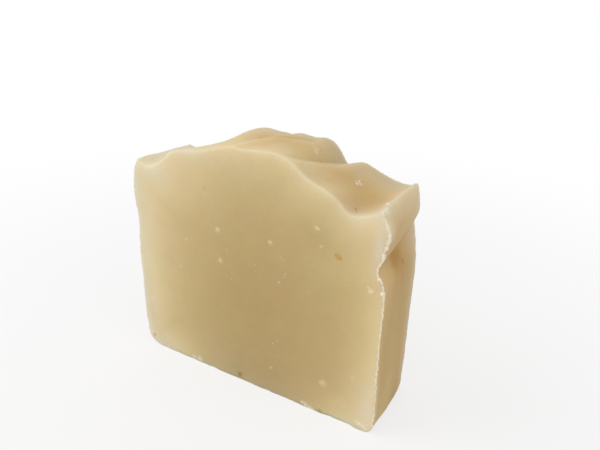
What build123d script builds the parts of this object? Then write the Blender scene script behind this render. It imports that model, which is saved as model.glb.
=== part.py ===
from build123d import *

import os

# A bar of hand-made soap, one piece. A loaf is poured in a lined wooden mould, its
# top is swirled with a spoon, and the set loaf is sliced. X runs across the loaf,
# Y from the front cut to the back cut, and Z is up. The bar stands on its base.

# Driving sizes in millimetres
bar_width = 90.0  # between the mould's two side walls
bar_thickness = 26.6  # from the front cut to the back cut
rim_height = 68.6  # where the poured soap meets the side walls
swirl_rise = 13.2  # from the rims up to the highest crest
left_base_radius = 6.8  # the liner rounds this bottom corner of the loaf
right_base_radius = 1.6  # the liner is pressed well into this corner
wall_swell = 1.0  # how far a side wall swells from or sinks under its plane
base_flat = 0.12  # what the mould's floor takes off the rounded corners
overrun = 5.0  # how far every cutting shape runs past the bar

half_width = bar_width / 2
half_thickness = bar_thickness / 2
trimming_height = rim_height + swirl_rise + overrun

# Sections lie at these depths, as shares of half the thickness: minus one is the
# front cut and one is the back cut. The outer two run past the cuts.
past_cut_share = 1 + overrun / half_thickness
section_depth_shares = (-past_cut_share, -1, -0.5, 0, 0.5, 1, past_cut_share)

# Each fold line below crosses the bar from front to back. Its three places are at the
# front cut, half way and at the back cut. A place on the swirl is its distance from
# the middle as a share of half the width, and its rise above the rim height as a
# share of the swirl's rise.

# The back fold: a shelf along the left wall, a shoulder, a long slope and the back
# crest. From there it falls away under the lobe.
back_fold_shares = (
    ((-1.20, 0.20), (-1.20, 0.19), (-1.20, 0.08)),  # past the left wall
    ((-0.975, 0.115), (-0.98, 0.09), (-0.975, 0.005)),  # left rim
    ((-0.895, -0.01), (-0.90, -0.02), (-0.90, -0.05)),  # shelf
    ((-0.835, 0.03), (-0.835, 0.00), (-0.86, -0.03)),  # foot of the shoulder
    ((-0.755, 0.19), (-0.75, 0.15), (-0.77, 0.08)),  # shoulder's flank
    ((-0.67, 0.455), (-0.66, 0.33), (-0.67, 0.20)),  # shoulder
    ((-0.51, 0.585), (-0.49, 0.52), (-0.52, 0.46)),  # long slope
    ((-0.33, 0.74), (-0.31, 0.79), (-0.38, 0.72)),  # top of the slope
    ((-0.21, 0.86), (-0.20, 0.92), (-0.25, 0.85)),  # back crest
    ((-0.10, 0.89), (-0.06, 0.925), (-0.12, 0.815)),
    ((0.10, 0.75), (0.10, 0.80), (0.03, 0.76)),  # under the lobe
    ((0.40, 0.10), (0.40, 0.10), (0.40, 0.00)),
    ((0.70, -0.60), (0.70, -0.60), (0.70, -0.60)),
    ((1.20, -0.90), (1.20, -0.90), (1.20, -0.90)),  # past the right wall
)

# The lobe: a tongue of soap folded over the middle. It has a narrow crest, a shallow
# furrow and a brow, and past the brow a bluff dives under the lower pour.
lobe_shares = (
    ((-1.20, -1.20), (-1.20, -1.20), (-1.20, -1.20)),  # past the left wall
    ((-0.70, -0.50), (-0.70, -0.50), (-0.70, -0.50)),  # under the back fold
    ((-0.33, 0.35), (-0.20, 0.35), (-0.17, 0.25)),
    ((-0.20, 0.83), (-0.06, 0.88), (-0.02, 0.76)),  # flank of the crest
    ((-0.14, 0.925), (0.005, 1.00), (0.05, 0.87)),  # crest
    ((-0.055, 0.92), (0.08, 0.965), (0.13, 0.835)),  # furrow
    ((0.06, 0.96), (0.15, 0.935), (0.19, 0.85)),
    ((0.18, 0.99), (0.21, 0.88), (0.25, 0.88)),  # brow
    ((0.24, 0.972), (0.265, 0.79), (0.315, 0.815)),  # brow's edge
    ((0.31, 0.86), (0.325, 0.60), (0.38, 0.57)),  # bluff
    ((0.41, 0.50), (0.41, 0.25), (0.45, 0.22)),  # under the lower pour
    ((0.60, -0.30), (0.60, -0.40), (0.60, -0.40)),
    ((1.20, -1.20), (1.20, -1.20), (1.20, -1.20)),  # past the right wall
)

# The lower pour: it comes out from under the lobe, falls to a trough and is drawn up
# to a thin rim at the right wall.
lower_pour_shares = (
    ((-1.20, -1.50), (-1.20, -1.50), (-1.20, -1.50)),  # past the left wall
    ((-0.70, -0.70), (-0.70, -0.80), (-0.70, -0.80)),  # under the lobe
    ((-0.20, 0.20), (-0.20, 0.00), (-0.10, -0.10)),
    ((0.15, 0.89), (0.20, 0.44), (0.30, 0.25)),
    ((0.25, 0.958), (0.325, 0.60), (0.42, 0.345)),  # crease at the lobe's foot
    ((0.30, 0.925), (0.39, 0.57), (0.47, 0.41)),  # hump below the crease
    ((0.375, 0.75), (0.47, 0.47), (0.535, 0.475)),
    ((0.46, 0.555), (0.555, 0.355), (0.60, 0.42)),  # slope
    ((0.565, 0.435), (0.64, 0.25), (0.68, 0.31)),
    ((0.653, 0.26), (0.71, 0.155), (0.745, 0.235)),  # edge of the trough
    ((0.732, 0.03), (0.79, 0.10), (0.81, 0.185)),  # trough
    ((0.83, 0.07), (0.875, 0.17), (0.88, 0.175)),
    ((0.94, 0.215), (0.955, 0.40), (0.935, 0.24)),  # right rim
    ((1.20, 0.60), (1.20, 1.00), (1.20, 0.60)),  # past the right wall
)

# A place on a side wall is how far it stands out from the wall's plane, as a share of
# the wall's swell, and its height as a share of the rim height.
left_wall_shares = (
    ((-0.9, 0.100), (-0.7, 0.100), (-0.7, 0.100)),  # above the base corner
    ((-0.1, 0.200), (0.0, 0.200), (0.0, 0.200)),
    ((0.2, 0.410), (0.2, 0.410), (0.1, 0.410)),
    ((0.3, 0.560), (0.2, 0.560), (0.1, 0.560)),
    ((-0.4, 0.690), (-0.2, 0.700), (0.0, 0.710)),  # dent
    ((0.4, 0.780), (0.2, 0.790), (0.1, 0.790)),
    ((1.0, 0.890), (0.6, 0.890), (0.3, 0.890)),  # bulge under the rim
    ((0.1, 0.965), (0.0, 0.965), (-0.2, 0.965)),
    ((-1.2, 1.005), (-1.1, 1.005), (-1.4, 1.000)),  # rounded rim
    ((-3.2, 1.030), (-2.8, 1.032), (-3.2, 1.030)),
    ((-6.0, 1.300), (-6.0, 1.300), (-6.0, 1.300)),  # past the top
)

# The liner had a fold here. It left a crease in the right wall: the wall comes in to
# the crease as a pocket, and above it a lip hangs over with a sharp lower edge.
right_wall_shares = (
    ((0.2, 0.030), (-0.3, 0.030), (-1.6, 0.030)),  # above the base corner
    ((0.2, 0.140), (-0.3, 0.140), (-1.3, 0.150)),
    ((-0.05, 0.370), (-0.4, 0.400), (-1.5, 0.400)),
    ((0.15, 0.640), (-0.5, 0.640), (-1.5, 0.620)),
    ((0.1, 0.710), (-0.8, 0.745), (-1.7, 0.720)),  # outer end of the pocket
    ((-1.0, 0.762), (-1.8, 0.795), (-2.3, 0.810)),  # floor of the pocket
    ((-2.4, 0.806), (-3.2, 0.840), (-3.1, 0.876)),  # crease
)
lip_shares = (
    ((-0.9, 0.856), (-0.9, 0.890), (-2.6, 0.900)),  # lower edge
    ((-0.3, 0.900), (-0.2, 0.925), (-2.1, 0.922)),
    ((0.3, 0.950), (0.2, 0.970), (-1.9, 0.950)),  # belly
    ((-0.7, 0.995), (-0.7, 1.028), (-2.3, 1.000)),
    ((-2.5, 1.040), (-2.0, 1.077), (-3.0, 1.045)),  # rim
    ((-3.4, 1.300), (-3.0, 1.300), (-3.8, 1.300)),  # past the top
)


def place_at(places, depth_share):
    """A fold line's pair of shares at a depth, on the parabola through its three places."""
    front, half_way, back = places
    front_weight = depth_share * (depth_share - 1) / 2
    half_way_weight = 1 - depth_share**2
    back_weight = depth_share * (depth_share + 1) / 2
    return [
        front_weight * at_front + half_way_weight * at_half_way + back_weight * at_back
        for at_front, at_half_way, at_back in zip(front, half_way, back)
    ]


def swirl_point(places, depth_share):
    """A point of the swirl's surface, in the bar's own frame."""
    across_share, rise_share = place_at(places, depth_share)
    return Vector(
        across_share * half_width,
        depth_share * half_thickness,
        rim_height + rise_share * swirl_rise,
    )


def right_wall_point(places, depth_share):
    """A point of the right wall's surface, in the bar's own frame."""
    swell_share, height_share = place_at(places, depth_share)
    return Vector(
        half_width + swell_share * wall_swell,
        depth_share * half_thickness,
        height_share * rim_height,
    )


def left_wall_point(places, depth_share):
    """The same for the left wall, which swells the other way."""
    x, y, z = right_wall_point(places, depth_share)
    return Vector(-x, y, z)


def smooth_line(point_of, table, depth_share):
    """One section's smooth line through a table's points. Every section has the same
    stations, the lengths along the half-way section, so a loft through the sections runs
    along the fold lines."""
    half_way = [point_of(places, 0) for places in table]
    stations = [0]
    for start, end in zip(half_way, half_way[1:]):
        stations.append(stations[-1] + (end - start).length)
    points = [point_of(places, depth_share) for places in table]
    return Edge.make_spline(points, parameters=stations)


def loaf_section(depth_share):
    """The mould's section at one depth, open to above the swirl."""
    depth = depth_share * half_thickness
    left = smooth_line(left_wall_point, left_wall_shares, depth_share)
    right = smooth_line(right_wall_point, right_wall_shares, depth_share)
    lip = smooth_line(right_wall_point, lip_shares, depth_share)
    left_foot, right_foot = left @ 0, right @ 0
    base_left = Vector(left_foot.X + left_base_radius, depth, -base_flat)
    base_right = Vector(right_foot.X - right_base_radius, depth, -base_flat)
    base = Line(base_left, base_right)
    right_corner = TangentArc(base_right, right_foot, tangent=(1, 0, 0))
    left_corner = TangentArc(base_left, left_foot, tangent=(-1, 0, 0))
    underside = Line(right @ 1, lip @ 0)
    cover = Line(lip @ 1, left @ 1)
    return Wire([base, right_corner, right, underside, lip, cover, left, left_corner])


def moulded_block():
    """A slice of the loaf between its two cuts, standing above the swirl."""
    loaf = Solid.make_loft([loaf_section(share) for share in section_depth_shares])
    slice_box = Pos(0, 0, trimming_height / 2) * Box(
        bar_width + overrun, bar_thickness, trimming_height
    )
    return slice_box & loaf


def above(line_shares):
    """All that lies above a surface drawn through fold lines."""
    profiles = [
        Wire([smooth_line(swirl_point, line_shares, share)])
        for share in section_depth_shares
    ]
    surface = Shell.make_loft(profiles).faces()[0]
    return extrude(surface, amount=trimming_height, dir=(0, 0, 1))


def make_soap_bar():
    """The bar: what is left of the slice under any of the three folds of its top. Its box
    is centred over the origin, and its base stays on the ground."""
    clear_of_swirl = above(back_fold_shares) & above(lobe_shares) & above(lower_pour_shares)
    bar = moulded_block() - clear_of_swirl
    middle = bar.bounding_box().center()
    return Pos(-middle.X, -middle.Y, 0) * bar


os.makedirs("parts", exist_ok=True)
soap_bar = make_soap_bar()
soap_bar.label = "soap_bar"
export_step(soap_bar, "parts/soap_bar.step")
print("solids", len(soap_bar.solids()), "volume", round(soap_bar.volume))
print("box", soap_bar.bounding_box())
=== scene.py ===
"""The looks of a bar of hand-made soap: its skin, cut edges, crumbs and pale grains.

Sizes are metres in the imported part's own frame. X runs across the bar, Y from the front
cut to the back cut, and Z is up. The bar stands on its base.
"""

import logging
import math
from dataclasses import dataclass, field
from enum import Enum

import bmesh
import bpy
import numpy as np
from mathutils import Matrix, Vector, kdtree, noise

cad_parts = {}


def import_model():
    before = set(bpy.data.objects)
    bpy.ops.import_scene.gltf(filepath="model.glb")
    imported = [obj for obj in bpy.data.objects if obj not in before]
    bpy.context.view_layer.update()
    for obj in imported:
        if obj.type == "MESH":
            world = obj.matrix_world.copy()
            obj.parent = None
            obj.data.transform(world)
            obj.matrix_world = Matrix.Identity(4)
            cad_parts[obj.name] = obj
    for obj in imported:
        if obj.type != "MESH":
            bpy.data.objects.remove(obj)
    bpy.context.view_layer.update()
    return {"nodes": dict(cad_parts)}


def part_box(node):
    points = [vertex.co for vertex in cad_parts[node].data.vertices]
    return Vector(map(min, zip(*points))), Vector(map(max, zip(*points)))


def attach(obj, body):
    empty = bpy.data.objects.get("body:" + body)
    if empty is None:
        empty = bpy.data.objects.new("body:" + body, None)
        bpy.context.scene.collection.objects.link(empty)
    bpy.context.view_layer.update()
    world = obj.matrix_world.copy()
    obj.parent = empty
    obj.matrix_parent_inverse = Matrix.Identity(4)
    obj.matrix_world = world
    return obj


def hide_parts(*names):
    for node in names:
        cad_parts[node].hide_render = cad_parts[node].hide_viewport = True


Triple = tuple[float, float, float]
Colour = tuple[float, float, float, float]
Socket = bpy.types.NodeSocket

MM = 0.001
PHOTO_WIDTH_PX = 600
SENSOR_WIDTH_MM = 36.0
NODE = "soap_bar"
BODY = "root"
WHITE = (1.0, 1.0, 1.0, 1.0)
# Where the front cut lies along Y
FRONT_CUT_MM = -13.3
# Noise seldom strays further than a quarter from its mean, so four times that is a whole
NOISE_GAIN = 4.0

log = logging.getLogger("soap")


def srgb(red: int, green: int, blue: int) -> Colour:
    """Turns a colour as it shows on a screen into the linear colour a shader takes.

    Args:
        red, green, blue: the colour's parts, 0 to 255.

    Returns:
        The linear colour, with an alpha of one.
    """

    def linear(part: int) -> float:
        """One part's linear share."""
        share = part / 255
        return share / 12.92 if share <= 0.04045 else ((share + 0.055) / 1.055) ** 2.4

    return (linear(red), linear(green), linear(blue), 1.0)


def way_out(azimuth: float, elevation: float) -> Vector:
    """The way from the bar to something that stands round it.

    Args:
        azimuth: how far round it stands from the front cut, in degrees.
        elevation: how far up it stands, in degrees.

    Returns:
        The way, one unit long.
    """
    turn, rise = math.radians(azimuth), math.radians(elevation)
    level = math.cos(rise)
    return Vector((math.sin(turn) * level, -math.cos(turn) * level, math.sin(rise)))


def put_in_scene(name: str, data: bpy.types.ID) -> bpy.types.Object:
    """Makes an object and puts it in the scene.

    Args:
        name: the object's name.
        data: its mesh, lamp or camera.

    Returns:
        The object.
    """
    thing = bpy.data.objects.new(name, data)
    bpy.context.scene.collection.objects.link(thing)
    return thing


@dataclass(frozen=True)
class Cloud:
    """An unevenness that comes and goes over the soap.

    Attributes:
        scale: how fine it is, in waves to the metre.
        detail: how many finer layers it has.
        strength: how far it swings: a share of the tone, or a height or way in millimetres.
    """

    scale: float
    detail: float
    strength: float


class Nodes:
    """Adds and joins the nodes of one tree in short lines."""

    def __init__(self, tree: bpy.types.NodeTree) -> None:
        """Takes the tree that the nodes go into."""
        self.tree = tree

    def add(self, kind: str, settings: dict | None = None, **inputs: object) -> bpy.types.Node:
        """Adds a node, sets it up and feeds its inputs.

        Args:
            kind: the node's type, such as ShaderNodeMix.
            settings: the node's own properties.
            inputs: values or sockets, keyed by the input's name with _ for a space, or by
                in0, in1 and so on for the input's place.

        Returns:
            The new node.
        """
        node = self.tree.nodes.new(kind)
        for name, value in (settings or {}).items():
            setattr(node, name, value)
        for name, value in inputs.items():
            numbered = name[:2] == "in" and name[2:].isdigit()
            socket = node.inputs[int(name[2:]) if numbered else name.replace("_", " ")]
            if isinstance(value, Socket):
                self.tree.links.new(value, socket)
            else:
                socket.default_value = value
        return node

    def math(self, operation: str, *values: object) -> Socket:
        """One sum on numbers or sockets, by the sum's name. Returns its result's socket."""
        inputs = {f"in{place}": value for place, value in enumerate(values)}
        return self.add("ShaderNodeMath", {"operation": operation}, **inputs).outputs[0]

    def vector(self, operation: str, *values: object) -> bpy.types.Node:
        """One sum on vectors or their sockets, by the sum's name. Returns its node."""
        inputs = {f"in{place}": value for place, value in enumerate(values)}
        return self.add("ShaderNodeVectorMath", {"operation": operation}, **inputs)

    def ramp(self, value: object, low: float, high: float) -> Socket:
        """Runs smoothly from zero at low to one at high. Returns the share's socket."""
        settings = {"interpolation_type": "SMOOTHSTEP"}
        return self.add("ShaderNodeMapRange", settings, in0=value, in1=low, in2=high).outputs[0]

    def blend(self, share: object, under: object, over: object, mode: str = "MIX") -> Socket:
        """Lays one colour over another by a share. Returns the colour's socket."""
        settings = {"data_type": "RGBA", "blend_type": mode}
        return self.add("ShaderNodeMix", settings, in0=share, in6=under, in7=over).outputs[2]

    def place(self) -> Socket:
        """The socket of the place on the object."""
        return self.add("ShaderNodeTexCoord").outputs["Object"]

    def painted(self, name: str) -> Socket:
        """The socket of a share that is stored on the mesh under a name, in a material."""
        return self.add("ShaderNodeAttribute", {"attribute_name": name}).outputs["Fac"]

    def stored(self, name: str, kind: str = "FLOAT") -> Socket:
        """The socket of what is stored on the mesh under a name, in a geometry tree."""
        settings = {"data_type": kind}
        return self.add("GeometryNodeInputNamedAttribute", settings, Name=name).outputs[0]

    def cloud(self, cloud: Cloud, place: Socket, roughness: float = 0.5) -> bpy.types.Node:
        """The noise that makes a cloud over a place. Returns its node."""
        sizes = {"Scale": cloud.scale, "Detail": cloud.detail, "Roughness": roughness}
        return self.add("ShaderNodeTexNoise", Vector=place, **sizes)

    def random(self, low: object, high: object, seed: object = 0) -> Socket:
        """A number between two others that is drawn for each point. Returns its socket."""
        sizes = {"in2": low, "in3": high, "Seed": seed}
        return self.add("FunctionNodeRandomValue", {"data_type": "FLOAT"}, **sizes).outputs[1]

    def seeded_noise(self, scale: float, seed: object) -> bpy.types.Node:
        """A noise over the points' own places, fixed by a seed. Returns its node."""
        settings = {"noise_dimensions": "4D"}
        return self.add("ShaderNodeTexNoise", settings, W=seed, Scale=scale, Detail=2.0)

    def stray(self, scale: float, height: object, seed: object) -> Socket:
        """A way to move each point by a noise.

        Args:
            scale: how fine the noise is, in waves to the metre.
            height: how far a point moves at the most.
            seed: fixes the noise.

        Returns:
            The move's socket.
        """
        wave = self.seeded_noise(scale, seed).outputs["Color"]
        centred = self.vector("SUBTRACT", wave, (0.5,) * 3).outputs[0]
        both_ways = self.math("MULTIPLY", height, 2.0)
        settings = {"operation": "SCALE"}
        return self.add("ShaderNodeVectorMath", settings, in0=centred, Scale=both_ways).outputs[0]

    def ball(self) -> Socket:
        """The socket of a round ball, one metre wide, that is still to be scaled."""
        return self.add("GeometryNodeMeshIcoSphere", Radius=0.5, Subdivisions=2).outputs[0]


def blank_material(name: str) -> tuple[bpy.types.Material, Nodes, bpy.types.Node]:
    """Makes a material that is still to be dressed.

    Args:
        name: the material's name.

    Returns:
        The material, its nodes and its shader.
    """
    material = bpy.data.materials.new(name)
    material.use_nodes = True
    return material, Nodes(material.node_tree), material.node_tree.nodes["Principled BSDF"]


@dataclass(frozen=True)
class Mark:
    """A soft spot on the skin: a stain, a nick, a paler patch, painted shade or painted light.

    Attributes:
        place: its middle, in millimetres.
        radius: how far it reaches, in millimetres.
        colour: the colour it tends to.
        strength: how much of that colour it takes in its middle.
    """

    place: Triple
    radius: float
    colour: Colour
    strength: float


PALE_PATCH = srgb(236, 224, 182)
WHITE_FLECK = srgb(243, 230, 201)
WHITE_BLOOM_AND_LIGHT = srgb(228, 224, 214)
ORANGE_STAIN = srgb(194, 148, 78)
WARM_SPECK = srgb(218, 182, 126)
BROWN_STAIN_AND_SHADE = srgb(166, 122, 62)
DARK_NICK = srgb(96, 66, 34)

MARKS = (
    Mark((27.9, -13.3, 11.4), 1.9, PALE_PATCH, 0.45),
    Mark((37.9, -13.3, 17.7), 1.2, PALE_PATCH, 0.15),
    Mark((21.2, -13.3, 1.3), 1.1, WHITE_FLECK, 0.65),
    Mark((22.4, -13.3, 1.0), 1.3, WHITE_FLECK, 0.85),
    Mark((23.8, -13.3, 0.7), 1.2, WHITE_FLECK, 0.85),
    Mark((25.1, -13.3, 0.5), 1.1, WHITE_FLECK, 0.75),
    Mark((40.3, -13.3, 2.6), 0.8, WHITE_FLECK, 0.55),
    Mark((41.2, -13.3, 2.1), 0.8, WHITE_FLECK, 0.80),
    Mark((42.3, -13.3, 1.9), 0.8, WHITE_FLECK, 0.70),
    Mark((43.1, -13.3, 1.4), 0.8, WHITE_FLECK, 0.75),
    Mark((41.2, -13.3, 48.3), 1.2, WHITE_FLECK, 0.55),
    Mark((40.4, -13.3, 49.2), 0.7, WHITE_FLECK, 0.40),
    Mark((-20.5, -13.3, 1.2), 1.8, WHITE_FLECK, 0.55),
    Mark((-23.0, -13.3, 1.0), 1.4, WHITE_FLECK, 0.45),
    Mark((-7.9, -13.3, 47.0), 0.9, WARM_SPECK, 0.40),
    Mark((12.1, -13.3, 50.3), 0.9, WARM_SPECK, 0.40),
    Mark((12.8, -13.3, 49.7), 0.9, WARM_SPECK, 0.35),
    Mark((30.7, -13.3, 55.8), 1.6, ORANGE_STAIN, 0.60),
    Mark((31.4, -13.3, 55.3), 0.55, BROWN_STAIN_AND_SHADE, 0.60),
    Mark((30.1, -13.3, 56.1), 0.5, BROWN_STAIN_AND_SHADE, 0.45),
    Mark((-3.1, -13.3, 2.0), 1.5, BROWN_STAIN_AND_SHADE, 0.75),
    Mark((27.6, -13.3, 0.6), 1.3, BROWN_STAIN_AND_SHADE, 0.50),
    Mark((-15.6, -13.3, 66.0), 0.6, BROWN_STAIN_AND_SHADE, 0.36),
    Mark((-41.3, -13.3, 3.6), 1.0, BROWN_STAIN_AND_SHADE, 0.45),
    Mark((33.3, -9.6, 69.5), 0.40, DARK_NICK, 0.55),
    Mark((33.7, -10.1, 69.3), 0.42, DARK_NICK, 0.65),
    Mark((34.2, -10.7, 69.1), 0.36, DARK_NICK, 0.45),
    Mark((44.2, 1.3, 52.2), 0.45, DARK_NICK, 0.70),
    Mark((44.2, 1.5, 51.5), 0.50, DARK_NICK, 0.75),
    Mark((15.5, 2.6, 76.0), 0.6, DARK_NICK, 0.35),
    # Painted shade: a soft dark spot in the pocket under the lip, in the brown stain colour.
    Mark((43.8, -2.5, 53.5), 5.0, BROWN_STAIN_AND_SHADE, 0.28),
    Mark((28.3, 2.2, 72.2), 1.8, WHITE_FLECK, 0.30),
    Mark((12.8, 4.8, 78.9), 1.3, PALE_PATCH, 0.30),
    Mark((13.2, 3.4, 78.4), 1.3, PALE_PATCH, 0.30),
    Mark((42.4, -11.6, 71.9), 2.0, WHITE_FLECK, 0.5),
    # Partly the soap's pale bloom, partly painted light coming through the thin top-left shoulder.
    Mark((-42.0, 3.0, 69.5), 17.0, WHITE_BLOOM_AND_LIGHT, 0.26),
    Mark((-21.0, 13.3, 33.0), 1.3, ORANGE_STAIN, 0.60),
    Mark((14.0, 13.3, 58.5), 0.8, BROWN_STAIN_AND_SHADE, 0.50),
    Mark((31.0, 13.3, 12.0), 1.6, PALE_PATCH, 0.45),
    Mark((-45.0, 3.0, 41.0), 0.9, BROWN_STAIN_AND_SHADE, 0.45),
)


@dataclass(frozen=True)
class SoapFinish:
    """Cured cold-process soap: satin, faintly translucent, paler where it dries first, with painted
    light and shade in its tones.

    Attributes:
        core: the colour in the middle of a broad face.
        dried: the paler colour near the edges, partly dried soap and partly painted light that
            comes through the translucent edges.
        rim: the nearly white colour of the edges themselves, partly dried soap and partly painted
            light glowing through the thin edges.
        liner: the browner colour of the walls that lay against the liner.
        warm_shade_tone: painted shade: the warmer, darker colour down in creases and hollows.
        painted_foot_shade: painted shade: the duller, darker colour at the foot of the cuts.
        poured_and_top_light: the warmer colour of the swirl, which no knife has touched, with
            painted light on the faces that look up.
        crust: the pale yellow of soap that has dried right through, in a few corners and right
            round the placed grains; on the low shelf, the thin ridge and the left corner it is
            painted light.
        greenish, rosy: the two faint casts that the pour's clouds swing between.
        roughness: how dull the cut skin is.
        bend: its index of refraction.
        shine: how strongly it mirrors, as the shader counts it.
        glow: how far light travels inside, in millimetres, for red, green and blue.
        glow_weight: how much of the light goes inside.
        chalkiness: how much less of it goes inside where the rim tone lies, which is partly dried
            soap and partly painted light.
        mottles: the uneven tones, from the pour's broad clouds to the cut's fine grain.
        mottle_roughness: how strong the mottles' finer layers are.
        casts: where the two casts lie. Each is whole that far from the noise's mean.
        waves: the relief: shallow waves, and the grain that the cutter leaves.
        outlines: how the marks' outlines stray.
        mark_core: the part of a mark's radius that has its full strength.
        marks: the soft spots on the skin.
    """

    core: Colour = srgb(182, 156, 107)
    dried: Colour = srgb(222, 202, 153)
    rim: Colour = srgb(216, 210, 193)
    liner: Colour = srgb(191, 157, 104)
    warm_shade_tone: Colour = srgb(188, 148, 87)
    painted_foot_shade: Colour = srgb(158, 139, 102)
    poured_and_top_light: Colour = srgb(222, 193, 140)
    crust: Colour = srgb(236, 220, 178)
    greenish: Colour = (0.995, 1.007, 0.992, 1.0)
    rosy: Colour = (1.005, 0.992, 1.003, 1.0)
    roughness: float = 0.62
    bend: float = 1.46
    shine: float = 0.12
    glow: Triple = (5.0, 3.8, 2.4)
    glow_weight: float = 1.0
    chalkiness: float = 0.95
    mottles: tuple[Cloud, ...] = (
        Cloud(42.0, 3.0, 0.06),
        Cloud(260.0, 2.0, 0.045),
        Cloud(1500.0, 1.0, 0.045),
    )
    mottle_roughness: float = 0.55
    casts: Cloud = Cloud(58.0, 2.0, 0.1)
    waves: tuple[Cloud, ...] = (Cloud(120.0, 2.0, 0.05), Cloud(700.0, 3.0, 0.018))
    outlines: Cloud = Cloud(900.0, 2.0, 1.0)
    mark_core: float = 0.25
    marks: tuple[Mark, ...] = MARKS

    def material(self, name: str) -> bpy.types.Material:
        """Builds the skin's material.

        Args:
            name: the material's name.

        Returns:
            The material.
        """
        skin, nodes, shader = blank_material(name)
        place = nodes.place()
        colour = self._mottling(nodes, place, self._tones(nodes))
        colour = self._marked(nodes, place, colour)
        inside = nodes.math(
            "MULTIPLY_ADD",
            nodes.painted("rim_and_painted_light_share"),
            -self.chalkiness * self.glow_weight,
            self.glow_weight,
        )
        skin.node_tree.links.new(colour, shader.inputs["Base Color"])
        skin.node_tree.links.new(self._relief(nodes, place), shader.inputs["Normal"])
        skin.node_tree.links.new(inside, shader.inputs["Subsurface Weight"])
        shader.inputs["Roughness"].default_value = self.roughness
        shader.inputs["IOR"].default_value = self.bend
        shader.inputs["Specular IOR Level"].default_value = self.shine
        shader.inputs["Subsurface Radius"].default_value = self.glow
        shader.inputs["Subsurface Scale"].default_value = MM
        return skin

    def _tones(self, nodes: Nodes) -> Socket:
        """Lays the broad tones, painted light and painted shade among them, over each other by the
        bar's own painted shares.

        Args:
            nodes: the nodes of the material.

        Returns:
            The colour's socket.
        """
        colour: object = self.core
        # Of these tones, the foot shade and the shade in creases and hollows are painted shade; the
        # dried, rim, crust and swirl tones are partly painted light.
        for share_name, tone in (
            ("liner_share", self.liner),
            ("painted_foot_shade_share", self.painted_foot_shade),
            ("dried_and_painted_light_share", self.dried),
            ("poured_and_painted_top_light_share", self.poured_and_top_light),
            ("warm_and_painted_shade_share", self.warm_shade_tone),
            ("rim_and_painted_light_share", self.rim),
            ("crust_and_painted_light_share", self.crust),
        ):
            colour = nodes.blend(nodes.painted(share_name), colour, tone)
        return colour

    def _mottling(self, nodes: Nodes, place: Socket, colour: Socket) -> Socket:
        """Makes the tone uneven.

        Args:
            nodes: the nodes of the material.
            place: the socket of the place on the object.
            colour: the colour's socket.

        Returns:
            The new colour's socket.
        """
        for mottle in self.mottles:
            wave = nodes.cloud(mottle, place, self.mottle_roughness).outputs["Fac"]
            tone = nodes.math("MULTIPLY_ADD", wave, 2 * mottle.strength, 1 - mottle.strength)
            grey = nodes.add("ShaderNodeCombineColor", in0=tone, in1=tone, in2=tone).outputs[0]
            colour = nodes.blend(1.0, colour, grey, "MULTIPLY")
        swing = nodes.cloud(self.casts, place).outputs["Fac"]
        share = nodes.ramp(swing, 0.5 - self.casts.strength, 0.5 + self.casts.strength)
        return nodes.blend(1.0, colour, nodes.blend(share, self.greenish, self.rosy), "MULTIPLY")

    def _marked(self, nodes: Nodes, place: Socket, colour: Socket) -> Socket:
        """Lays each soft spot over the skin, with an uneven outline.

        Args:
            nodes: the nodes of the material.
            place: the socket of the place on the object.
            colour: the colour's socket.

        Returns:
            The new colour's socket.
        """
        swing = self.outlines.strength
        ragged = nodes.cloud(self.outlines, place).outputs["Color"]
        shifted = nodes.vector("MULTIPLY_ADD", ragged, (swing * MM,) * 3, place).outputs[0]
        for mark in self.marks:
            middle = tuple((part + 0.5 * swing) * MM for part in mark.place)
            gap = nodes.vector("DISTANCE", shifted, middle).outputs["Value"]
            share = nodes.ramp(gap, mark.radius * MM, mark.radius * self.mark_core * MM)
            colour = nodes.blend(nodes.math("MULTIPLY", share, mark.strength), colour, mark.colour)
        return colour

    def _relief(self, nodes: Nodes, place: Socket) -> Socket:
        """Builds the skin's fine relief.

        Args:
            nodes: the nodes of the material.
            place: the socket of the place on the object.

        Returns:
            The socket of the way that the skin faces.
        """
        normal: dict[str, Socket] = {}
        for wave in self.waves:
            height = nodes.cloud(wave, place).outputs["Fac"]
            sizes = {"Distance": wave.strength * MM, "Strength": 1.0}
            bump = nodes.add("ShaderNodeBump", Height=height, **sizes, **normal)
            normal = {"Normal": bump.outputs[0]}
        return normal["Normal"]


@dataclass(frozen=True)
class PaleSoapFinish:
    """Crumbs and grains: the same soap, dried nearly white.

    Attributes:
        colour: the dried colour, at a whiteness of nought.
        cream: the paler colour, at a whiteness of one half.
        white: the palest colour, at a whiteness of one.
        mottle: how the dried colour darkens here and there.
        roughness: how dull it is.
        shine: how strongly it mirrors, as the shader counts it.
    """

    colour: Colour
    cream: Colour = srgb(219, 198, 148)
    white: Colour = srgb(243, 230, 206)
    mottle: Cloud = Cloud(800.0, 2.0, 0.1)
    roughness: float = 0.7
    shine: float = 0.25

    def material(self, name: str) -> bpy.types.Material:
        """Builds the material.

        Args:
            name: the material's name.

        Returns:
            The material.
        """
        pale, nodes, shader = blank_material(name)
        wave = nodes.cloud(self.mottle, nodes.place()).outputs["Fac"]
        darker = tuple(part * (1 - self.mottle.strength) for part in self.colour[:3]) + (1.0,)
        whiteness = nodes.painted("whiteness")
        colour = nodes.blend(wave, self.colour, darker)
        colour = nodes.blend(nodes.ramp(whiteness, 0.0, 0.5), colour, self.cream)
        colour = nodes.blend(nodes.ramp(whiteness, 0.5, 1.0), colour, self.white)
        pale.node_tree.links.new(colour, shader.inputs["Base Color"])
        shader.inputs["Roughness"].default_value = self.roughness
        shader.inputs["Specular IOR Level"].default_value = self.shine
        return pale


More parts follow.
